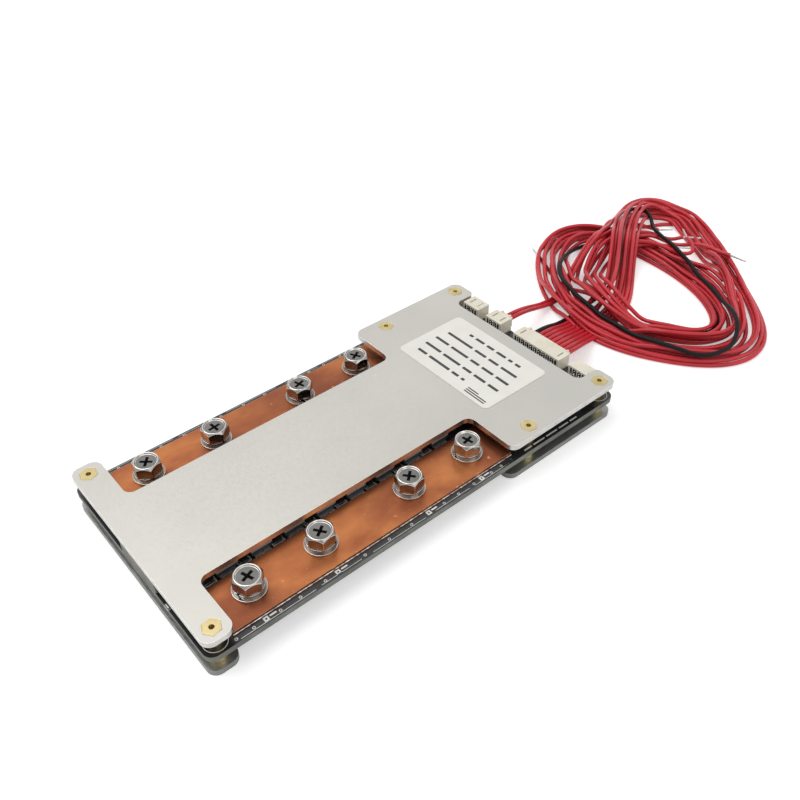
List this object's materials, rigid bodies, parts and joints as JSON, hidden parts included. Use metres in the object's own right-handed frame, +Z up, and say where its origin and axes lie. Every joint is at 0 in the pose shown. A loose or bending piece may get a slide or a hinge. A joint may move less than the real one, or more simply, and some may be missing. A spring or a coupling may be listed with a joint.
{
  "type": "battery management board",
  "caption": "Circuit board between two aluminium heatsink plates, with copper bars under terminal screws, plug headers at one end and a loose coil of sense wires.",
  "frame": {"origin": "on the surface the board stands on, under the middle of the lower plate", "axes": "+X along the board towards the headers and the coil, +Y across it towards the battery-side copper bar, +Z up"},
  "size_m": [0.302, 0.11, 0.0158],
  "materials": {
    "satin_aluminium": "satin, fine scratches, bright sheared edges",
    "solder_mask": "black glass-fibre board, semi-matte",
    "brass": "turned brass, lightly tarnished",
    "copper": "bare copper, mottled by handling",
    "nickel_steel": "nickel plated steel",
    "plated_steel": "zinc plated steel",
    "epoxy": "moulded black epoxy",
    "tinned_metal": "tinned copper, satin",
    "silicone_pad": "grey thermal silicone",
    "end_pad": "grey-olive thermal silicone",
    "resistor": "glazed chip resistor",
    "nylon": "ivory nylon",
    "red_wire": "soft silicone insulation",
    "black_wire": "soft silicone insulation",
    "label_film": "white printed film, satin"
  },
  "bodies": {
    "root": {"bottom_heatsink_plate": "satin_aluminium", "lower_spacers": "brass", "circuit_board": "solder_mask", "upper_standoffs": "brass", "top_heatsink_plate": "satin_aluminium", "assembly_screws": "plated_steel", "pack_negative_bar": "copper", "battery_negative_bar": "copper", "flat_washers": "nickel_steel", "split_washers": "nickel_steel", "terminal_screws": "nickel_steel", "terminal_nuts": "plated_steel", "upper_transistors": "epoxy", "upper_transistor_metal": "tinned_metal", "upper_thermal_pads": "silicone_pad", "lower_transistors": "epoxy", "lower_transistor_metal": "tinned_metal", "lower_thermal_pads": "silicone_pad", "gate_resistors": "resistor", "sense_resistors": "resistor", "balance_resistors": "resistor", "balance_transistors": "epoxy", "monitor_chip": "epoxy", "driver_chips": "epoxy", "chip_leads": "tinned_metal", "end_thermal_pad": "end_pad", "spare_header": "nylon", "sensor_header": "nylon", "balance_header": "nylon", "plain_header": "nylon", "header_contacts": "tinned_metal", "sensor_plug": "nylon", "balance_plug": "nylon", "label": "label_film", "sense_wire_1": "red_wire", "sense_wire_2": "red_wire", "sense_wire_3": "red_wire", "sense_wire_4": "red_wire", "sense_wire_5": "red_wire", "sense_wire_6": "red_wire", "sense_wire_7": "red_wire", "sense_wire_8": "red_wire", "sense_wire_9": "black_wire", "sensor_wire_1": "red_wire", "sensor_wire_2": "red_wire", "wire_coil": "red_wire"}
  },
  "joints": []
}
